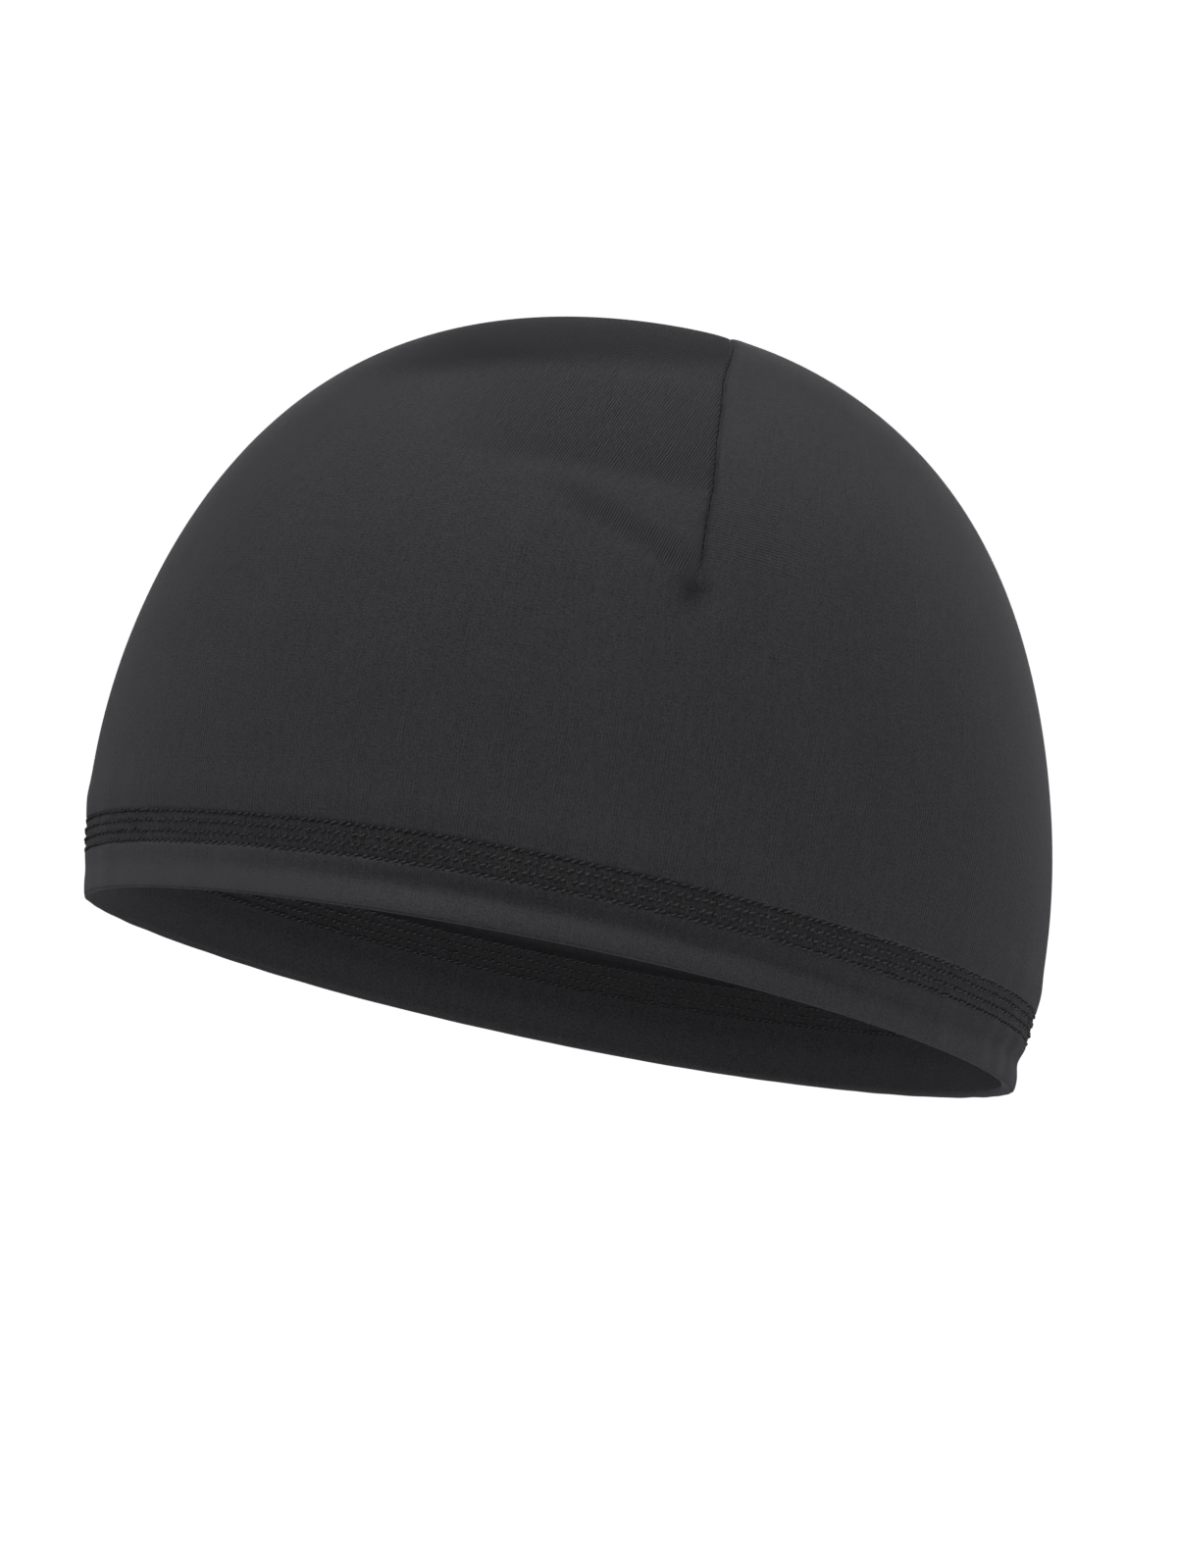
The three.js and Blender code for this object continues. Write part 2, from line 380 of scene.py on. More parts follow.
def dart_shape(level, turn):
    """How deep the dart presses the cloth in, outside and inside, and how much painted shade darkens its
    crease and the dimple under its tip.
    """
    behind, over_tip = dart_place(level, turn)
    waver = sum(height * np.sin(over_tip / length + start) for height, length, start in DART_WAVERS)
    aside = behind - waver * smoothstep(over_tip, 0, 10)
    rise = smoothstep(over_tip, -1, 6)
    high = smoothstep(over_tip, 10, 60)
    slit = hump(aside, grown(SLIT_WIDTH, high)) * grown(SLIT_DEPTH, high)
    brow_side = grown(BROW_SIDE_DEPTH, high) * peak(aside, grown(BROW_SIDE_WIDTH, high))
    nape_roll = NAPE_ROLL_HEIGHT * hump(aside - NAPE_ROLL_PLACE, NAPE_ROLL_WIDTH)
    nape_side = NAPE_SIDE_DEPTH * peak(aside, NAPE_SIDE_WIDTH) - nape_roll
    shoulders = np.where(aside < 0, brow_side, nape_side * (1 - NAPE_SIDE_FADE * high))
    over_dimple = over_tip + DIMPLE_DROP
    below = np.where(over_dimple < 0, *DIMPLE_STEEPNESS) * over_dimple
    from_dimple = np.hypot((aside + DIMPLE_BEFORE) * DIMPLE_SQUEEZE, below)
    dimple = DIMPLE_DEPTH * hump(from_dimple, DIMPLE_WIDTH)
    inner_ridge = INNER_RIDGE_DEPTH * peak(aside, INNER_RIDGE_WIDTH)
    inner_slit = INNER_SLIT_DEPTH * hump(aside, INNER_SLIT_WIDTH)
    # Painted shade in the dart's crease and in the dimple under its tip
    crease = rise * peak(aside, np.where(aside < 0, grown(CREASE_SHADE_WIDTH, high), CREASE_SHADE_WIDTH[0]))
    spot = DIMPLE_SHADE_STRENGTH * hump(np.hypot(aside + DIMPLE_SHADE_BEFORE, below), DIMPLE_SHADE_WIDTH)
    outside = rise * (slit + shoulders) + dimple
    inside = rise * (inner_ridge + inner_slit) + dimple
    return outside, inside, np.maximum(crease, spot)


# Relief of the cloth round the seam: the groove under a row of stitches, the roll of cloth over the
# seam, the puckers that the stitches pull up, and slow waves higher up
GROOVE_WIDTH = 0.36
ROLL_HEIGHT, ROLL_PLACE, ROLL_WIDTH = 0.34, 4.6, 3.4
PUCKER_HEIGHT, PUCKER_FADE = 0.05, 9.0
PUCKERS = {"seed": 3, "count": 6, "low": 24, "high": 60}
SLOW_HEIGHT, SLOW_PLACE, SLOW_WIDTH = 0.1, 12.0, 22.0
SLOW_WAVES = {"seed": 5, "count": 5, "low": 5, "high": 13}

# Relief of the hem under the seam: it sinks into a valley and flares at the fold, less so at the brow
VALLEY_DEPTH, VALLEY_PLACE, VALLEY_WIDTH, VALLEY_FADE = 0.6, 4.0, 2.2, 0.8
FLARE_HEIGHT, FLARE_FADE = 0.8, 0.75
FLARE_FROM, FLARE_TO = 4.0, 9.5


def cloth_relief(up, turn):
    """How far the outer cloth stands out from the smooth surface, for a height over the opening.

    One relief runs through hem, seam and crown, so the cloth flows on across the joints.
    """
    over = up - UPPER_JOINT
    above = smoothstep(up, UPPER_JOINT - 0.4, UPPER_JOINT + 0.9)
    below = smoothstep(up, LOWER_JOINT - 0.7, LOWER_JOINT + 0.4)
    relief = -SEAM_SINK * below * (1 - above)
    for joint in (LOWER_JOINT, UPPER_JOINT):
        relief = relief - JOINT_GROOVE * hump(up - joint, GROOVE_WIDTH)
    roll = ROLL_HEIGHT * hump(over - ROLL_PLACE, ROLL_WIDTH)
    puckers = wavy(turn, **PUCKERS) * PUCKER_HEIGHT * peak(np.clip(over, 0, None), PUCKER_FADE)
    slow = wavy(turn, **SLOW_WAVES) * SLOW_HEIGHT * hump(over - SLOW_PLACE, SLOW_WIDTH)
    brow_share = smoothstep(-np.sin(turn), 0.35, 0.9)
    under = LOWER_JOINT - up
    flare = FLARE_HEIGHT * (1 - FLARE_FADE * brow_share) * smoothstep(under, FLARE_FROM, FLARE_TO)
    valley = VALLEY_DEPTH * (1 - VALLEY_FADE * brow_share) * hump(under - VALLEY_PLACE, VALLEY_WIDTH)
    return relief + above * roll + puckers + slow + (flare - valley) * (under > 0)


def risen(up, turn):
    """Heights over the opening, moved where the hem was sewn wider or narrower.

    It is wider on the far side and narrower at the brow. The fold itself stays in place.
    """
    up, turn = np.broadcast_arrays(np.asarray(up, float), np.asarray(turn, float))
    rise = FAR_HEM_RISE * smoothstep(-np.cos(turn), 0.05, 0.7)
    drop = BROW_HEM_DROP * smoothstep(-np.sin(turn), 0.3, 0.9) * smoothstep(np.cos(turn), -0.3, 0.1)
    fade = smoothstep(up, 0, LOWER_JOINT) * (1 - smoothstep(up, UPPER_JOINT + 2, UPPER_JOINT + 45))
    return up + (rise - drop) * fade


def seam_level(up, turn):
    """The level of a height over the opening, given as on the near side."""
    return level_at(risen(up, turn))


def wall_inside(up):
    """How far in the inner cloth lies: two layers at the seam, one above it."""
    past_seam = smoothstep(up, UPPER_JOINT + 0.3, UPPER_JOINT + 2.4)
    return CLOTH_WALL + (SEAM_INSIDE - CLOTH_WALL) * (1 - past_seam)


def rib_slope(over_tip):
    """How far the wales of the brow side have run towards the dart, at this height over its tip."""
    past = np.clip(over_tip, 0, None)
    return past * math.tan(LOW_RIB_LEAN) + np.clip(past - HIGH_RIB_START, 0, None) * math.tan(HIGH_RIB_LEAN)


def knit_map(level, turn, first_turns):
    """Where each place lies in the flat knit, in millimetres: across the wales and along them.

    Below the dart every wale runs up. Above its tip the wales of the brow side lean into the dart, and
    those of the nape side run beside it.
    """
    arc = lengths_along(surface(level, turn))
    middle = surface(level[:, 0], turn[:, 0])
    along = lengths_along(middle)[:, None]
    marks = [np.searchsorted(first_turns, quarter * math.pi / 2 - 1e-6) for quarter in range(5)]
    at_tip = int(np.argmin(np.abs(middle[:, 2] - TIP_HEIGHT)))
    over_tip = middle[:, 2:] - TIP_HEIGHT
    whole = arc[at_tip, -1]
    across = np.zeros_like(arc)
    for quarter in range(4):
        first, last = marks[quarter], marks[quarter + 1]
        columns = slice(first, last + 1)
        here = arc[:, columns] - arc[:, first : first + 1]
        length = np.maximum(here[:, -1:], 1e-6)
        full = length[at_tip, 0]
        dart_first = quarter % 2 == 0
        from_dart = here if dart_first else length - here
        beside_dart = from_dart if dart_first else full - from_dart
        beside_middle = full - (length - here) if dart_first else here
        at_nape = quarter < 2
        lean = 0.0 if at_nape else rib_slope(over_tip) * (1 if dart_first else -1)
        far = smoothstep(from_dart, *TURNING_RIBS)
        above = (1 - far) * (beside_dart + lean) + far * beside_middle
        turning = smoothstep(over_tip, -6, 2)
        straight = here / length * full
        across[:, columns] = arc[at_tip, first] + (1 - turning) * straight + turning * above
    across *= round(whole / WALE_PITCH) * WALE_PITCH / whole
    return np.stack(np.broadcast_arrays(across, along), axis=-1)


# Where the ribs show: over the upper half of the dart, in a slanting band from its tip, and a little below
RIBS_OVER_TIP = (17, 23)
RIBS_BEFORE = (34, 62)
RIB_GAP_HEIGHT, RIB_GAP_WIDTH, RIB_GAP_STRENGTH = 44, 3.0, 0.6
BAND_OVER_TIP, BAND_SLANT, BAND_WIDTH, BAND_STRENGTH = 3, 0.38, 3.0, 0.8
BAND_BEFORE = (22, 34)
LOW_RIBS = 0.12
LOW_RIBS_UNDER_TIP = (-35, -15)

# Where the courses show behind the dart
COURSES_OVER_TIP, COURSES_WIDTH = 13, 8.0
COURSES_BEHIND = (12, 26)
FAINT_COURSES = 0.05

# Where painted shade darkens the cloth in front of the dart, high up where it turns away from the light:
# over a slanting line, and less so at the middle
TOP_SHADE_OVER_TIP = (47.5, 55)
TOP_SHADE_SLANT = 0.22
TOP_SHADE_BEFORE = (45, 85)
TOP_SHADE_AT_MIDDLE = 0.3
TOP_SHADE_FROM_MIDDLE = (3, 20)


def rib_mask(level, turn):
    """Where the ribs of the knit are pulled open, on the brow side of the dart."""
    behind, over_tip = dart_place(level, turn)
    before = -behind
    wide = smoothstep(over_tip, *RIBS_OVER_TIP) * (1 - smoothstep(before, *RIBS_BEFORE))
    gap = 1 - RIB_GAP_STRENGTH * hump(over_tip - RIB_GAP_HEIGHT, RIB_GAP_WIDTH)
    band = hump(over_tip - BAND_OVER_TIP - BAND_SLANT * before, BAND_WIDTH)
    band = BAND_STRENGTH * band * (1 - smoothstep(before, *BAND_BEFORE))
    low = LOW_RIBS * (1 - smoothstep(over_tip, *LOW_RIBS_UNDER_TIP))
    return np.where(before > -0.2, np.maximum(np.maximum(wide * gap, band), low), low)


def course_mask(level, turn):
    """Where the courses of the knit show as fine level lines, on the nape side of the dart."""
    behind, over_tip = dart_place(level, turn)
    near = smoothstep(behind, -0.3, 0.3) * (1 - smoothstep(behind, *COURSES_BEHIND))
    return near * hump(over_tip - COURSES_OVER_TIP, COURSES_WIDTH) + FAINT_COURSES


def top_shade_mask(level, turn):
    """Where painted shade darkens the cloth where it turns away from the light: high on both sides, in
    front of the dart.
    """
    behind, over_tip = dart_place(level, turn)
    before = -behind
    high = smoothstep(over_tip + TOP_SHADE_SLANT * before, *TOP_SHADE_OVER_TIP)
    from_middle = np.abs(surface(level, turn)[..., 0])
    shown = TOP_SHADE_AT_MIDDLE + (1 - TOP_SHADE_AT_MIDDLE) * smoothstep(from_middle, *TOP_SHADE_FROM_MIDDLE)
    return high * shown * smoothstep(before, -0.3, 0.6) * (1 - smoothstep(before, *TOP_SHADE_BEFORE))


# The crown's inner side has fewer rows: every second one at the seam, then every fifth
INNER_CLOSE_ROWS = 12
INNER_CLOSE_STEP = 2
INNER_ROW_STEP = 5


def make_crown():
    """The crown's cloth, outside and inside in one skin."""
    turns, levels = crown_turns(), crown_levels()
    closed = np.append(turns, turns[0] + 2 * math.pi)
    level = np.repeat(levels[:, None], len(closed), axis=1)
    turn = bent(level, closed[None, :])
    uv = knit_map(level, turn, closed)
    level, turn = level[:, :-1], turn[:, :-1]
    up = CAP_HEIGHT * np.sin(level)
    level = level + seam_level(up, turn) - level_at(up)
    sink, inner_sink, crease = dart_shape(level, turn)
    outside = offset(level, turn, cloth_relief(up, turn) - sink)
    last = len(levels) - 1
    close = np.arange(0, INNER_CLOSE_ROWS, INNER_CLOSE_STEP)
    few = np.unique(np.concatenate([close, np.arange(INNER_CLOSE_ROWS, last, INNER_ROW_STEP), [last]]))
    behind = 0.5 * cloth_relief(up[few], turn[few]) - wall_inside(up[few]) - inner_sink[few]
    inside = offset(level[few], turn[few], behind)
    rows = np.concatenate([inside[::-1], outside])
    uvs = np.concatenate([uv[few][::-1], uv])
    plain = np.zeros(inside.shape[:2])
    # Painted shade high in front of the dart, darkening the tone and added to the crease mask
    top_shade = top_shade_mask(level, turn)
    values = {
        "ribs": np.concatenate([plain, rib_mask(level, turn)]),
        "courses": np.concatenate([plain, course_mask(level, turn)]),
        "crease": np.concatenate([plain, np.maximum(crease, TOP_SHADE_IN_CREASE * top_shade)]),
        # The inner side is paler, partly its own tone and partly painted fill light
        "pale": np.concatenate([plain + INSIDE_PALENESS_AND_FILL_LIGHT, -TOP_SHADE_DARKNESS * top_shade]),
    }
    return ring_object("crown_cloth", rows, uvs, attributes=values)


def even_turns(count):
    """Turns that are evenly spaced round the seam by length, and the seam's length."""
    fine = np.linspace(0, 2 * math.pi, 4001)
    arc = lengths_along(surface(level_at(LOWER_JOINT), fine))
    return np.interp(np.arange(count) / count * arc[-1], arc, fine), arc[-1]


# Stitches: how many there are in a row round the cap, the rows' heights, and the threads' thickness
STITCH_COUNT = 326
STITCH_ROWS = (LOWER_JOINT, LOWER_JOINT + 1.95, LOWER_JOINT + 3.95, UPPER_JOINT)
THREAD_RADIUS = 0.19
COVER_RADIUS = 0.08

# Each stitch's length in stitch pitches, its slant and unevenness, and how far its ends and middle
# stand out from the cloth, at a joint and between the joints
STITCH_LENGTH, STITCH_LENGTH_SPREAD = 0.72, 0.1
STITCH_SLANT, STITCH_SLANT_SPREAD = 0.62, 0.16
STITCH_SHIFT = 0.09
STITCH_RISE = 0.06
STITCH_LIFT = 0.05
LIFT_AT_JOINT = (-0.12, 0.36)
LIFT_BETWEEN = (-0.26, 0.24)
ROW_START_STEP = 0.21

# The thin threads across the seam: how far they keep from the outer rows, and their unevenness
COVER_MARGIN = 0.2
COVER_LENGTH, COVER_LENGTH_SPREAD = 0.55, 0.14
COVER_SHIFT, COVER_SWAY, COVER_RISE = 0.13, 0.16, 0.1
COVER_SINK, COVER_ARCH, COVER_LIFT = 0.075, 0.04, 0.02

# Needles pull a groove along the middle rows and a hole at every stitch
NEEDLE_WIDTH = 0.4
ROW_GROOVE = 0.14
NEEDLE_HOLE = 0.12
ROW_PHASE = 1.3
INNER_NEEDLE_SHARE = 0.6

# Where the ring of stitches starts and ends, the rows overlap for a few stitches
OVERLAP_TURN = math.radians(-71)
OVERLAP_STITCHES = 7
OVERLAP_DRIFT = 0.3


def band_uvs(rows, length):
    """Flat places of a band's rows: along the band, and across it by the length of its section."""
    width = rows.shape[1]
    along = np.arange(width + 1) / width * round(length / WALE_PITCH) * WALE_PITCH
    across = lengths_along(np.concatenate([rows[:, 0], rows[:1, 0]]))
    return np.stack(np.meshgrid(along, across), axis=-1)


def needle_dips(up, turn):
    """Grooves and holes where the needles pull the cloth down."""
    relief = np.zeros(np.broadcast(up, turn).shape)
    phase = stitch_phase(turn)
    for index, row in enumerate(STITCH_ROWS):
        groove = ROW_GROOVE if 0 < index < len(STITCH_ROWS) - 1 else 0.0
        relief -= hump(up - row, NEEDLE_WIDTH) * (groove + NEEDLE_HOLE * np.cos(phase - index * ROW_PHASE))
    return relief


# Shares of the seam's length from the wearer's left, and the turns where they end
ARC_STEPS = 2048
ARC_SHARES = np.arange(ARC_STEPS + 1) / ARC_STEPS
ARC_TURNS = np.append(even_turns(ARC_STEPS)[0], 2 * math.pi)


def turn_share(turn):
    """The share of the seam's length from the wearer's left to a turn."""
    return np.interp(np.mod(turn, 2 * math.pi), ARC_TURNS, ARC_SHARES)


def turn_at(share):
    """The turn at a share of the seam's length."""
    return np.interp(np.mod(share, 1), ARC_SHARES, ARC_TURNS)


def stitch_phase(turn):
    """An angle that goes round once with every stitch."""
    return turn_share(turn) * STITCH_COUNT * 2 * math.pi


SEAM_COLUMNS = 4 * STITCH_COUNT
SEAM_STEPS = 25


def make_seam():
    """The flat band of the seam, outside and inside in one skin."""
    turns, length = even_turns(SEAM_COLUMNS)
    face_up = np.linspace(LOWER_JOINT + JOINT_SLIT / 2, UPPER_JOINT - JOINT_SLIT / 2, SEAM_STEPS)
    ups = np.concatenate([face_up, face_up[::-1]])[:, None]
    turn = turns[None, :]
    outer = cloth_relief(face_up[:, None], turn) + needle_dips(face_up[:, None], turn)
    inner = -SEAM_INSIDE - INNER_NEEDLE_SHARE * needle_dips(face_up[::-1, None], turn)
    rows = offset(seam_level(ups, turn), turn, np.concatenate([outer, inner]))
    # The seam's inner side is paler, partly its own tone and partly painted fill light
    pale = np.repeat([0.0, SEAM_INSIDE_PALENESS_AND_FILL_LIGHT], SEAM_STEPS)[:, None] * np.ones_like(turn)
    return ring_object("seam_cloth", rows, band_uvs(rows, length), closed=True, attributes={"pale": pale})


HEM_COLUMNS = 760
HEM_STEPS = 30
FOLD_STEPS = 13

# The hem's inner layer bulges a little, and its fold is lowest at the outer edge
HEM_CROWDING = 0.8
HEM_BULGE = 0.2
FOLD_ROUNDNESS = 0.6
FOLD_OUTER_SHARE = 0.25
FOLD_LEAN = 0.7

# The stitches pinch the hem just under the seam, and it ripples round the cap
PINCH_HEIGHT, PINCH_WIDTH = 0.05, 1.6
RIPPLES = (
    (0.04, {"seed": 21, "count": 6, "low": 18, "high": 48}),
    (0.08, {"seed": 22, "count": 4, "low": 4, "high": 9}),
)

# The hem's painted shade in its valley and painted highlight towards its fold, by height under the seam
VALLEY_SHADE_PLACE, VALLEY_SHADE_WIDTH = 2.6, 2.4
FOLD_HIGHLIGHT_SPAN = (4.5, 9)


def make_hem():
    """The folded band round the opening, outer layer, inner layer and fold in one skin."""
    turns, length = even_turns(HEM_COLUMNS)
    fold = HEM_WALL / 2
    top = LOWER_JOINT - JOINT_SLIT / 2
    face_up = fold + (top - fold) * np.linspace(0, 1, HEM_STEPS) ** HEM_CROWDING
    back_up = face_up[::-2]
    turn = turns[None, :]
    outer = cloth_relief(face_up[:, None], turn)
    bulge = HEM_BULGE * np.sin(math.pi * np.linspace(0, 1, len(back_up)))[:, None]
    inner = np.broadcast_to(-SEAM_INSIDE - bulge, (len(back_up), len(turns)))
    share = np.linspace(0, 1, FOLD_STEPS)[1:-1]
    down = np.sin(math.pi * share) ** FOLD_ROUNDNESS
    low, high = outer[:1], inner[-1:]
    under = (low + high) / 2 - (low - high) / 2 * np.cos(math.pi * share)[:, None]
    under_up = fold * (1 - down * (FOLD_OUTER_SHARE + (1 - FOLD_OUTER_SHARE) * share**FOLD_LEAN))
    ups = np.concatenate([face_up, back_up, under_up])
    pinch = PINCH_HEIGHT * hump(LOWER_JOINT - face_up, PINCH_WIDTH)[:, None]
    outer = outer + np.cos(stitch_phase(turns))[None, :] * pinch
    ripple = sum(height * wavy(turns, **waves) for height, waves in RIPPLES)
    outs = np.concatenate([outer, inner, under]) + ripple[None, :]
    rows = offset(seam_level(ups[:, None], turn), turn, outs)
    # How far round towards the brow the hem takes painted light
    brow_share = smoothstep(-np.sin(turn), 0.1, 0.85)
    # Painted shade in the hem's valley under the seam
    valley = VALLEY_PAINTED_SHADE * hump(LOWER_JOINT - ups - VALLEY_SHADE_PLACE, VALLEY_SHADE_WIDTH)
    # Painted highlight on the hem towards its fold
    folded = FOLD_PAINTED_HIGHLIGHT * smoothstep(LOWER_JOINT - face_up, *FOLD_HIGHLIGHT_SPAN)
    # Painted shade under the fold, from the inner side's tone downwards
    underside_shade = (INSIDE_PALENESS_AND_FILL_LIGHT + UNDERSIDE_PAINTED_SHADE) * np.sqrt(np.sin(math.pi * share))
    outer_pale = folded[:, None] + HEM_PALENESS + BROW_PAINTED_LIGHT * brow_share
    # The hem's inner layer is paler, partly its own tone and partly painted fill light
    inner_pale = np.full((len(back_up), len(turns)), INSIDE_PALENESS_AND_FILL_LIGHT)
    under_pale = np.repeat((INSIDE_PALENESS_AND_FILL_LIGHT - underside_shade)[:, None], len(turns), axis=1)
    pale = np.concatenate([outer_pale, inner_pale, under_pale]) - valley[:, None]
    return ring_object("hem_cloth", rows, band_uvs(rows, length), closed=True, attributes={"pale": pale})


# Every thread has this many sides, and ends at this share of its thickness
THREAD_SIDES = 5
THREAD_END = 0.45


def tube_parts(paths, radius):
    """Points and quads of closed-ended tubes along many short paths, an array of (tubes, steps, 3)."""
    tubes, steps = paths.shape[:2]
    sides = THREAD_SIDES
    ahead = np.gradient(paths, axis=1)
    ahead /= np.linalg.norm(ahead, axis=2, keepdims=True)
    outward = paths - np.array([0.0, DART_SETBACK, CAP_HEIGHT * 0.25])
    across = np.cross(ahead, outward)
    across /= np.linalg.norm(across, axis=2, keepdims=True)
    lift = np.cross(across, ahead)
    angles = np.arange(sides) / sides * 2 * math.pi
    taper = np.ones(steps)
    taper[[0, -1]] = THREAD_END
    circle = np.cos(angles)[:, None] * across[:, :, None] + np.sin(angles)[:, None] * lift[:, :, None]
    body = paths[:, :, None] + circle * (radius * taper)[None, :, None, None]
    points = np.concatenate([body.reshape(tubes, -1, 3), paths[:, :1], paths[:, -1:]], axis=1)
    tip = steps * sides
    top = tip - sides
    quads = []
    for low in range(0, top, sides):
        for j in range(sides):
            beside = low + (j + 1) % sides
            quads.append((low + j, beside, beside + sides, low + sides + j))
    for j in range(sides):
        beside = (j + 1) % sides
        quads.append((beside, j, tip, -1))
        quads.append((top + j, top + beside, tip + 1, -1))
    quads = np.array(quads)
    each = points.shape[1]
    shifted = quads[None] + (np.arange(tubes) * each)[:, None, None] * (quads >= 0)[None]
    return points.reshape(-1, 3), shifted.reshape(-1, 4)


def thread_object(name, groups):
    """One object from groups of (paths, radius)."""
    all_points, all_quads, start = [], [], 0
    for paths, radius in groups:
        points, quads = tube_parts(paths, radius)
        all_quads.append(np.where(quads >= 0, quads + start, -1))
        all_points.append(points)
        start += len(points)
    points, quads = np.concatenate(all_points), np.concatenate(all_quads)
    uvs = points[np.maximum(quads, 0)][..., 1:]
    return mesh_object(name, points, quads, uvs, {})


def cloth_face(up, turn, side):
    """How far out the cloth lies at the seam, on its outer side (1) or its inner side (-1)."""
    if side > 0:
        return cloth_relief(up, turn)
    return np.full(np.broadcast(up, turn).shape, -SEAM_INSIDE)


def stitch_paths(row, side, seed):
    """One row of slanting stitches round the seam, with a few more where the ring closes."""
    rng = np.random.default_rng(seed)
    share = np.linspace(0, 1, 8)
    overlap = float(turn_share(OVERLAP_TURN)) * STITCH_COUNT + np.arange(OVERLAP_STITCHES) + 0.45
    start = np.concatenate([np.arange(STITCH_COUNT), overlap]) + row * ROW_START_STEP
    each = (len(start), 1)
    shift = rng.normal(0, STITCH_SHIFT, each)
    long = rng.normal(STITCH_LENGTH, STITCH_LENGTH_SPREAD, each)
    turn = turn_at((start[:, None] + shift + share * long) / STITCH_COUNT)
    slant = (share - 0.5) * rng.normal(STITCH_SLANT, STITCH_SLANT_SPREAD, each)
    drift = np.where(np.arange(len(start)) < STITCH_COUNT, 0.0, OVERLAP_DRIFT)[:, None]
    up = STITCH_ROWS[row] + slant * side + rng.normal(0, STITCH_RISE, each) + drift
    at_joint = row in (0, len(STITCH_ROWS) - 1)
    base = cloth_face(np.full_like(up, STITCH_ROWS[row]), turn, side)
    low, high = LIFT_AT_JOINT if at_joint else LIFT_BETWEEN
    arch = low + (high - low) * np.sin(math.pi * share) ** 0.6
    lift = arch + rng.normal(0, STITCH_LIFT, each)
    return offset(seam_level(up, turn), turn, base + side * lift)


def cover_paths(side, seed):
    """Thin threads that cross the seam between its outer needle rows."""
    rng = np.random.default_rng(seed)
    share = np.linspace(0, 1, 9)
    rising = np.repeat([True, False], STITCH_COUNT)[:, None]
    start = np.concatenate([np.arange(STITCH_COUNT), np.arange(STITCH_COUNT) + 0.5])[:, None]
    start = start + rng.normal(0, COVER_SHIFT, start.shape)
    sway = rng.normal(0, COVER_SWAY, start.shape) * np.sin(share * 2 * math.pi)
    long = rng.normal(COVER_LENGTH, COVER_LENGTH_SPREAD, start.shape)
    turn = turn_at((start + share * long + sway) / STITCH_COUNT)
    low, high = STITCH_ROWS[0] + COVER_MARGIN, STITCH_ROWS[-1] - COVER_MARGIN
    up = low + (high - low) * np.where(rising, share, share[::-1])
    up = up + rng.normal(0, COVER_RISE, start.shape)
    lift = COVER_ARCH * np.sin(share * 3 * math.pi) ** 2 - COVER_SINK
    lift = lift + rng.normal(0, COVER_LIFT, start.shape)
    return offset(seam_level(up, turn), turn, cloth_face(up, turn, side) + side * lift)


def make_stitches(side, name):
    """All threads of the seam on its outer side (1) or its inner side (-1)."""
    rows = range(len(STITCH_ROWS))
    groups = [(stitch_paths(row, side, 40 + row + 10 * side), THREAD_RADIUS) for row in rows]
    return thread_object(name, groups + [(cover_paths(side, 60 + side), COVER_RADIUS)])


# The cloth edges inside the dart: how deep they stand, over what height they reach that depth, and
# their section as places aside in millimetres and shares of the depth
EDGE_DEPTH = 3.3
EDGE_FULL_AT = 14.0
EDGE_CLEARANCE = 0.05
EDGE_ROWS = 170
EDGE_WAVES = ((0.25, 0.9), (0.2, 0.23))
EDGE_UV_STEPS = (0.9, 0.8)
EDGE_HALF_SECTION = ((0.7, 0.0), (0.75, 0.35), (0.7, 0.75), (0.5, 1.0))
EDGE_SECTION = ((-0.7, 0.0), *EDGE_HALF_SECTION, (-0.5, 1.0), (-0.7, 0.75), (-0.75, 0.35))
TO_NAPE = np.array([0.0, 1.0, 0.0])

# Overlock loops round those edges, and the thread bars that show in the dart's crease
LOOP_COUNT = 62
LOOP_START = 4.0
LOOP_INSET = 0.3
LOOP_WIDTH = 0.95
LOOP_ADVANCE = 1.5
LOOP_RADIUS = 0.13
BAR_COUNT = 54
BAR_SPREAD, BAR_REACH = 0.0015, 0.0045
BAR_HALF_WIDTH = 0.42
BAR_NEAREST = 12.0
BAR_SINK, BAR_SAG = 0.95, 0.25
BAR_RADIUS = 0.14


def strip_frame(level, turn):
    """Points under the dart's line where the cloth edges stand inside, the way inwards, and the depth."""
    inner = dart_shape(level, turn)[1]
    over_tip = CAP_HEIGHT * np.sin(level) - TIP_HEIGHT
    depth = EDGE_DEPTH * np.clip(over_tip / EDGE_FULL_AT, 0.2, 1)
    return offset(level, turn, -inner - CLOTH_WALL - EDGE_CLEARANCE), -normals(level, turn), depth


def make_strip():
    """The overlocked cloth edges that stand inside along the dart, as one strip."""
    levels = np.linspace(level_at(TIP_HEIGHT + 1.0), math.pi / 2, EDGE_ROWS)
    level = np.concatenate([levels, levels[-2::-1]])
    turn = np.concatenate([np.zeros(EDGE_ROWS), np.full(EDGE_ROWS - 1, math.pi)])
    top, inward, depth = strip_frame(level, turn)
    wave = sum(height * np.sin(np.arange(len(level)) * step) for height, step in EDGE_WAVES)
    rows = []
    for aside, share in EDGE_SECTION:
        sway = aside + wave * share
        rows.append(top + inward * (depth * share)[:, None] + TO_NAPE * sway[:, None])
    rows = np.stack(rows, axis=1)
    first, last = (np.broadcast_to(row.mean(axis=0), (1, *row.shape)) for row in (rows[0], rows[-1]))
    rows = np.concatenate([first, rows, last])
    along, across = (np.arange(count + 1) * step for count, step in zip(rows.shape, EDGE_UV_STEPS))
    uvs = np.stack(np.meshgrid(along, across, indexing="ij"), axis=-1)
    return ring_object("dart_edge", rows, uvs)


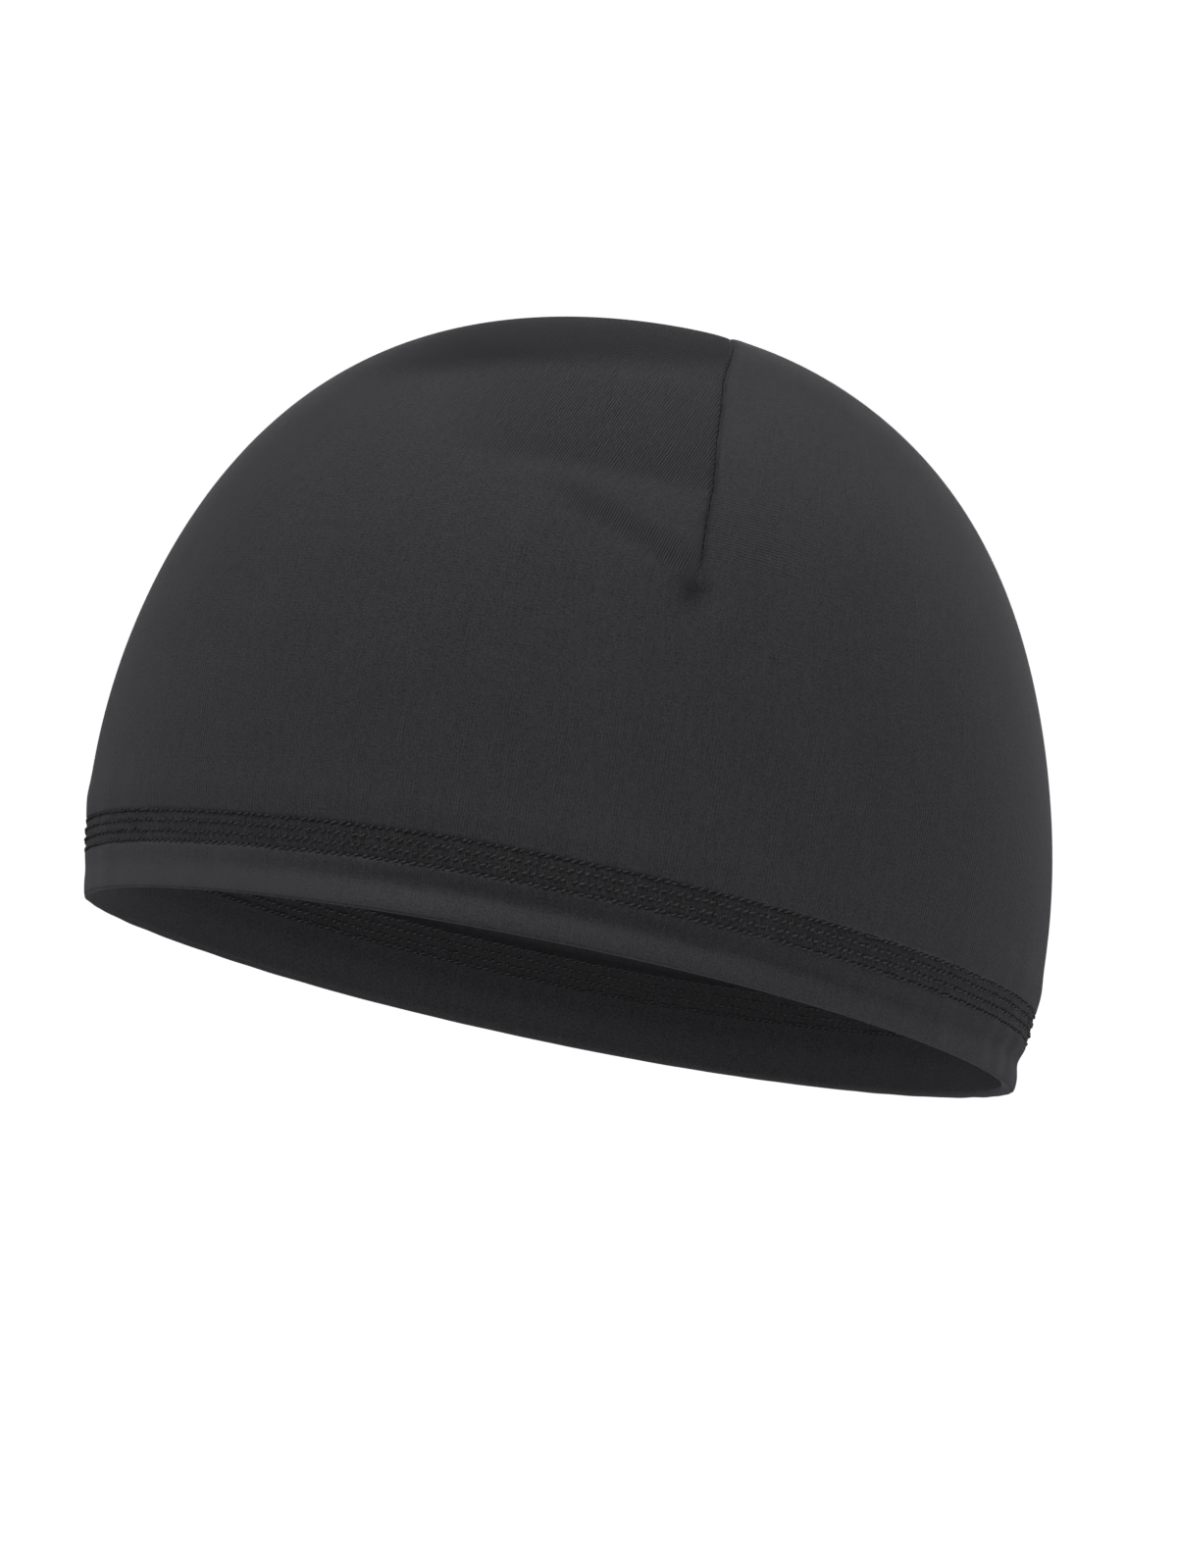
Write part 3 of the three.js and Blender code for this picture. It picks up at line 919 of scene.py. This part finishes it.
def make_strip_threads():
    """Overlock loops round the dart's cloth edges."""
    levels = np.linspace(level_at(TIP_HEIGHT + LOOP_START), math.pi / 2 - 0.01, LOOP_COUNT)
    level = np.concatenate([levels, levels[::-1]])
    turn = np.repeat([0.0, math.pi], LOOP_COUNT)
    top, inward, depth = strip_frame(level, turn)
    ahead = np.gradient(top, axis=0)
    ahead /= np.linalg.norm(ahead, axis=1, keepdims=True)
    share = np.linspace(0, 1, 11)
    around = share * 2 * math.pi
    deep = LOOP_INSET + depth[:, None] * (0.5 - 0.5 * np.cos(around))
    aside = LOOP_WIDTH * np.sin(around)
    onward = LOOP_ADVANCE * share
    paths = top[:, None] + inward[:, None] * deep[..., None] + TO_NAPE * aside[None, :, None]
    paths = paths + ahead[:, None] * onward[None, :, None]
    return thread_object("dart_threads", [(paths, LOOP_RADIUS)])


def make_dart_stitches():
    """Small thread bars that show in the crease of the dart."""
    levels = np.linspace(level_at(TIP_HEIGHT + 0.5), level_at(CAP_HEIGHT - 0.15), BAR_COUNT)
    rng = np.random.default_rng(8)
    share = np.linspace(-1, 1, 6)
    groups = []
    for middle in (0.0, math.pi):
        level = levels[:, None] + rng.normal(0, BAR_SPREAD, (BAR_COUNT, 1)) + share * BAR_REACH
        spot = surface(level, np.full_like(level, middle))
        radius = np.maximum(np.hypot(spot[..., 0], spot[..., 1] - DART_SETBACK), BAR_NEAREST)
        turn = middle + share * BAR_HALF_WIDTH / radius
        sink = BAR_SINK + BAR_SAG * share**2
        groups.append((offset(level, turn, -sink * np.ones_like(level)), BAR_RADIUS))
    return thread_object("dart_stitches", groups)


def new_material(name):
    """A new material with its node tree and shader."""
    material = bpy.data.materials.new(name)
    material.use_nodes = True
    tree = material.node_tree
    shader = tree.nodes["Principled BSDF"]
    return material, tree, shader


def set_inputs(node, values):
    """Sets sockets of a node by their labels."""
    for label, value in values.items():
        node.inputs[label].default_value = value


def maths(tree, operation, first, second=None, third=None):
    """The output of a Math node, from numbers or other outputs."""
    made = tree.nodes.new("ShaderNodeMath")
    made.operation = operation
    for socket, value in zip(made.inputs, (first, second, third)):
        if value is None:
            continue
        if isinstance(value, (int, float)):
            socket.default_value = value
        else:
            tree.links.new(value, socket)
    return made.outputs[0]


def flat_place(tree):
    """Outputs across and along the knit, in millimetres."""
    places = tree.nodes.new("ShaderNodeUVMap")
    places.uv_map = "knit"
    split = tree.nodes.new("ShaderNodeSeparateXYZ")
    tree.links.new(places.outputs["UV"], split.inputs[0])
    return places.outputs["UV"], split.outputs["X"], split.outputs["Y"]


def noise(tree, vector, scale, detail=2.0, roughness=0.5):
    """A noise over the knit."""
    made = tree.nodes.new("ShaderNodeTexNoise")
    set_inputs(made, {"Scale": scale, "Detail": detail, "Roughness": roughness})
    tree.links.new(vector, made.inputs["Vector"])
    return made.outputs["Fac"]


def wave_of(tree, value, pitch):
    """A wave from -1 to 1 with this pitch."""
    return maths(tree, "SINE", times(tree, value, 2 * math.pi / pitch))


def stretched(tree, vector, x, y):
    """Places multiplied by x across the knit and by y along it."""
    made = tree.nodes.new("ShaderNodeVectorMath")
    made.operation = "MULTIPLY"
    tree.links.new(vector, made.inputs[0])
    made.inputs[1].default_value = (x, y, 1.0)
    return made.outputs[0]


def times(tree, first, second):
    """The product of two outputs, or of an output and a number."""
    return maths(tree, "MULTIPLY", first, second)


def centred(tree, value, gain):
    """Noise around 0.5 made to swing around 0."""
    return times(tree, maths(tree, "SUBTRACT", value, 0.5), gain)


def total(tree, *values):
    """The sum of some outputs."""
    made = values[0]
    for value in values[1:]:
        made = maths(tree, "ADD", made, value)
    return made


def painted(tree, share, first, second):
    """A colour between two, by a share that may run over either end."""
    mix = tree.nodes.new("ShaderNodeMix")
    mix.data_type = "RGBA"
    mix.clamp_factor = True
    for label, colour in (("A", first), ("B", second)):
        if isinstance(colour, tuple):
            mix.inputs[label].default_value = (*colour, 1)
        else:
            tree.links.new(colour, mix.inputs[label])
    tree.links.new(share, mix.inputs["Factor"])
    return mix.outputs["Result"]


def bumped(tree, shader, height, strength, depth):
    """Gives a shader a bump, its depth in millimetres."""
    bump = tree.nodes.new("ShaderNodeBump")
    set_inputs(bump, {"Strength": strength, "Distance": depth * METRES})
    tree.links.new(height, bump.inputs["Height"])
    tree.links.new(bump.outputs["Normal"], shader.inputs["Normal"])


def attribute(tree, name):
    """A value that the mesh holds at each point."""
    made = tree.nodes.new("ShaderNodeAttribute")
    made.attribute_name = name
    return made.outputs["Fac"]


# How far a leg of a loop runs along a wale, in courses
LEG_LEAN = 0.55


def loops(tree, across, along):
    """The face of a jersey: in every wale two legs lean together, one pair over another."""
    place = maths(tree, "FRACT", maths(tree, "DIVIDE", across, WALE_PITCH))
    leg = maths(tree, "ABSOLUTE", maths(tree, "MULTIPLY_ADD", place, 2.0, -1.0))
    course = maths(tree, "MULTIPLY_ADD", along, 1 / COURSE_PITCH, times(tree, leg, LEG_LEAN))
    return wave_of(tree, course, 1)


# Noises over the knit: scale across and along it, detail, roughness and strength
GRAIN = (2.3, 2.0, 2.0, 0.65, 4.2)
TUFTS = (0.75, 0.5, 2.0, 0.5, 1.1)
YARN = (1.3, 0.1, 2.0, 0.5, 0.8)
CLOUD = (0.07, 0.05, 2.0, 0.5, 0.45)
WAVER = (0.25, 0.12, 2.0, 0.5, 0.7)
COURSE_STRENGTH = 0.5
LOOP_STRENGTH = 0.12
GRAIN_RELIEF = 0.5
LINT_SCALE, LINT_OVER, LINT_SHARE = 0.7, 0.82, 0.35
LINT_COLOUR = (0.1, 0.095, 0.1)
# Painted shade: how far the colour turns to this near-black where the crease mask is
CREASE_SHADE = 0.6
PAINTED_SHADE_COLOUR = (0.004, 0.004, 0.0045)
KNIT_ROUGHNESS, CREASE_ROUGHNESS = 0.7, 0.3
KNIT_BUMP = (0.55, 0.11)
KNIT_GLOSS = {
    "Specular IOR Level": 0.22,
    "Sheen Weight": 0.125,
    "Sheen Roughness": 0.5,
    "Sheen Tint": (0.8, 0.78, 0.85, 1),
}


def knit_noise(tree, vector, kind):
    """One of the noises above, swinging around 0."""
    across, along, detail, roughness, gain = kind
    return centred(tree, noise(tree, stretched(tree, vector, across, along), 1.0, detail, roughness), gain)


def knit_material(name, dark, light, rib_low, rib_high):
    """Fine jersey: wales, courses and loops, uneven yarn, slow cloudiness and a few specks of lint, with
    painted light and shade from the mesh's pale values and painted shade where its crease mask is.
    """
    material, tree, shader = new_material(name)
    vector, across, along = flat_place(tree)
    crease = attribute(tree, "crease")
    kinds = (GRAIN, TUFTS, YARN, CLOUD, WAVER)
    grain, tufts, yarn, cloud, waver = (knit_noise(tree, vector, kind) for kind in kinds)
    wale = wave_of(tree, maths(tree, "ADD", across, waver), WALE_PITCH)
    course = wave_of(tree, maths(tree, "ADD", along, waver), COURSE_PITCH)
    ribs = maths(tree, "MULTIPLY_ADD", attribute(tree, "ribs"), rib_high - rib_low, rib_low)
    ribbed = times(tree, wale, ribs)
    rows = times(tree, attribute(tree, "courses"), COURSE_STRENGTH)
    rowed = times(tree, course, rows)
    looped = times(tree, loops(tree, across, along), LOOP_STRENGTH)
    # The pale values add the cloth's own tones and painted light and shade from the mesh
    tone = total(tree, grain, tufts, yarn, cloud, ribbed, rowed, looped, attribute(tree, "pale"))
    cloth = painted(tree, maths(tree, "MULTIPLY_ADD", tone, 0.5, 0.5), dark, light)
    lint = noise(tree, stretched(tree, vector, LINT_SCALE, LINT_SCALE), 1.0, 1.0)
    speck = times(tree, maths(tree, "GREATER_THAN", lint, LINT_OVER), LINT_SHARE)
    fluffed = painted(tree, speck, cloth, LINT_COLOUR)
    # Painted shade where the crease mask is: the dart's crease, the dimple and the cloth high in front of
    # the dart
    with_painted_shade = painted(tree, times(tree, crease, CREASE_SHADE), fluffed, PAINTED_SHADE_COLOUR)
    tree.links.new(with_painted_shade, shader.inputs["Base Color"])
    height = total(tree, times(tree, grain, GRAIN_RELIEF), ribbed, rowed, looped)
    flatter = maths(tree, "SUBTRACT", 1.0, crease)
    bumped(tree, shader, times(tree, height, flatter), *KNIT_BUMP)
    duller = maths(tree, "MULTIPLY_ADD", crease, CREASE_ROUGHNESS, KNIT_ROUGHNESS)
    tree.links.new(duller, shader.inputs["Roughness"])
    set_inputs(shader, KNIT_GLOSS)
    return material


# Thread: its plies' pitch and slant, and how uneven it is
PLY_PITCH = 0.32
PLY_SLANT = 0.7
THREAD_NOISE_SCALE, THREAD_NOISE_STRENGTH = 1.1, 2.2
THREAD_BUMP = (0.4, 0.05)
THREAD_GLOSS = {"Roughness": 0.5, "Specular IOR Level": 0.35}


def thread_material(name, dark, light):
    """Polyester thread with twisted plies."""
    material, tree, shader = new_material(name)
    vector, across, along = flat_place(tree)
    plies = wave_of(tree, maths(tree, "MULTIPLY_ADD", along, PLY_SLANT, across), PLY_PITCH)
    uneven = centred(tree, noise(tree, vector, THREAD_NOISE_SCALE), THREAD_NOISE_STRENGTH)
    share = maths(tree, "MULTIPLY_ADD", total(tree, times(tree, plies, 0.5), uneven), 0.5, 0.5)
    tree.links.new(painted(tree, share, dark, light), shader.inputs["Base Color"])
    bumped(tree, shader, plies, *THREAD_BUMP)
    set_inputs(shader, THREAD_GLOSS)
    return material


def plain_surface(name, colour, glow):
    """Pale studio paper, lit a little from within so that it stays even."""
    material, tree, shader = new_material(name)
    paper = {"Base Color": (*colour, 1), "Emission Color": (*colour, 1)}
    set_inputs(shader, {**paper, "Roughness": 0.9, "Emission Strength": glow})
    return material


def dress(piece, material, slot, *nodes):
    """Gives a piece its material and its body, and hides the nodes that it stands for. The slot is not
    used.
    """
    piece.data.materials.append(material)
    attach(piece, BODY)
    if nodes:
        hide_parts(*nodes)
    return piece


def direction(azimuth, elevation):
    """Unit vector from the cap towards a place at this azimuth and elevation, in radians."""
    flat = math.cos(elevation)
    return Vector((math.sin(azimuth) * flat, -math.cos(azimuth) * flat, math.sin(elevation)))


def aim(thing, place, target):
    """Puts a camera or a light at a place and turns it to the target."""
    thing.location = place
    thing.rotation_euler = (target - place).to_track_quat("-Z", "Y").to_euler()


def make_camera():
    """The camera, as the photo was taken."""
    target = Vector(LOOK_AT) * METRES
    data = bpy.data.cameras.new("camera")
    data.lens = CAMERA_LENS
    data.clip_start = 0.05
    data.clip_end = 20
    camera = placed("camera", data)
    place = target + direction(CAMERA_AZIMUTH, CAMERA_ELEVATION) * CAMERA_DISTANCE * METRES
    aim(camera, place, target)
    bpy.context.scene.camera = camera


# Softboxes: degrees round from the camera, degrees up and power in watts
SOFTBOXES = {
    "top_left": (-30, 62, 14.3),
    "top_right": (30, 62, 10.4),
    "front_low": (0, -25, 11.9),
    "left_low": (-90, -10, 8.2),
    "right_high": (75, 35, 3.2),
    "right_edge": (110, 35, 2.3),
    "floor_bounce": (90, -60, 14.8),
    "far_side": (180, 20, 9.0),
}
SOFTBOX_SIZE = 1.2
SOFTBOX_DISTANCE = 1.7
LIT_POINT = (0, 0, 0.05)

# The studio's floor and the pale surround, in metres
FLOOR_DROP = 1.1
FLOOR_RADIUS = 6.0
SURROUND_RADIUS = 7.0


def make_lights():
    """Softboxes round the cap."""
    target = Vector(LIT_POINT)
    for name, (around, up, watts) in SOFTBOXES.items():
        data = bpy.data.lights.new(name, "AREA")
        data.shape = "DISK"
        data.size = SOFTBOX_SIZE
        data.energy = watts
        light = placed(name, data)
        light.visible_camera = False
        azimuth = CAMERA_AZIMUTH + math.radians(around)
        place = target + direction(azimuth, math.radians(up)) * SOFTBOX_DISTANCE
        aim(light, place, target)


def make_studio():
    """A plain pale floor well below the cap, and an even pale surround."""
    world = bpy.data.worlds.new("studio")
    bpy.context.scene.world = world
    world.use_nodes = True
    set_inputs(world.node_tree.nodes["Background"], {"Color": (1, 1, 1, 1), "Strength": 0.0})
    below = (0, 0, -FLOOR_DROP)
    bpy.ops.mesh.primitive_circle_add(vertices=96, radius=FLOOR_RADIUS, fill_type="NGON", location=below)
    floor = bpy.context.object
    floor.name = "studio_floor"
    floor.data.materials.append(plain_surface("studio_paper", (0.9, 0.9, 0.89), 0.75))
    bpy.ops.mesh.primitive_uv_sphere_add(segments=64, ring_count=32, radius=SURROUND_RADIUS)
    surround = bpy.context.object
    surround.name = "studio_surround"
    surround.data.materials.append(plain_surface("studio_wall", (1.0, 1.0, 0.992), 0.99))
    for side in (floor, surround):
        side.visible_diffuse = False
        side.visible_glossy = False
        side.visible_shadow = False
    view = bpy.context.scene.view_settings
    view.view_transform = "Standard"
    view.look = "None"


# Colours of the cloth, the seam and the thread: dark and light
CLOTH_COLOURS = ((0.013, 0.0125, 0.0143), (0.044, 0.0425, 0.0468))
SEAM_COLOURS = ((0.006, 0.0058, 0.0066), (0.03, 0.0291, 0.032))
THREAD_COLOURS = ((0.01, 0.0097, 0.0109), (0.066, 0.064, 0.07))


def make_cap():
    """Every piece of the cap with its material."""
    jersey = knit_material("jersey", *CLOTH_COLOURS, rib_low=0.0, rib_high=3.0)
    doubled = knit_material("jersey_doubled", *CLOTH_COLOURS, rib_low=0.16, rib_high=0.16)
    edge = knit_material("seam_jersey", *SEAM_COLOURS, rib_low=0.3, rib_high=0.3)
    thread = thread_material("thread", *THREAD_COLOURS)
    crown = dress(make_crown(), jersey, "crown_knit", "crown")
    seam = dress(make_seam(), edge, "seam_knit", "overlocked_seam")
    hem = dress(make_hem(), doubled, "hem_knit", "hem")
    strip = dress(make_strip(), edge, "dart_edge", "dart_strip")
    trims = [
        dress(make_stitches(1, "outer_stitches"), thread, "seam_knit"),
        dress(make_stitches(-1, "inner_stitches"), thread, "seam_knit"),
        dress(make_strip_threads(), thread, "dart_edge"),
        dress(make_dart_stitches(), thread, "dart_edge"),
    ]


make_cap()
make_studio()
make_lights()
make_camera()
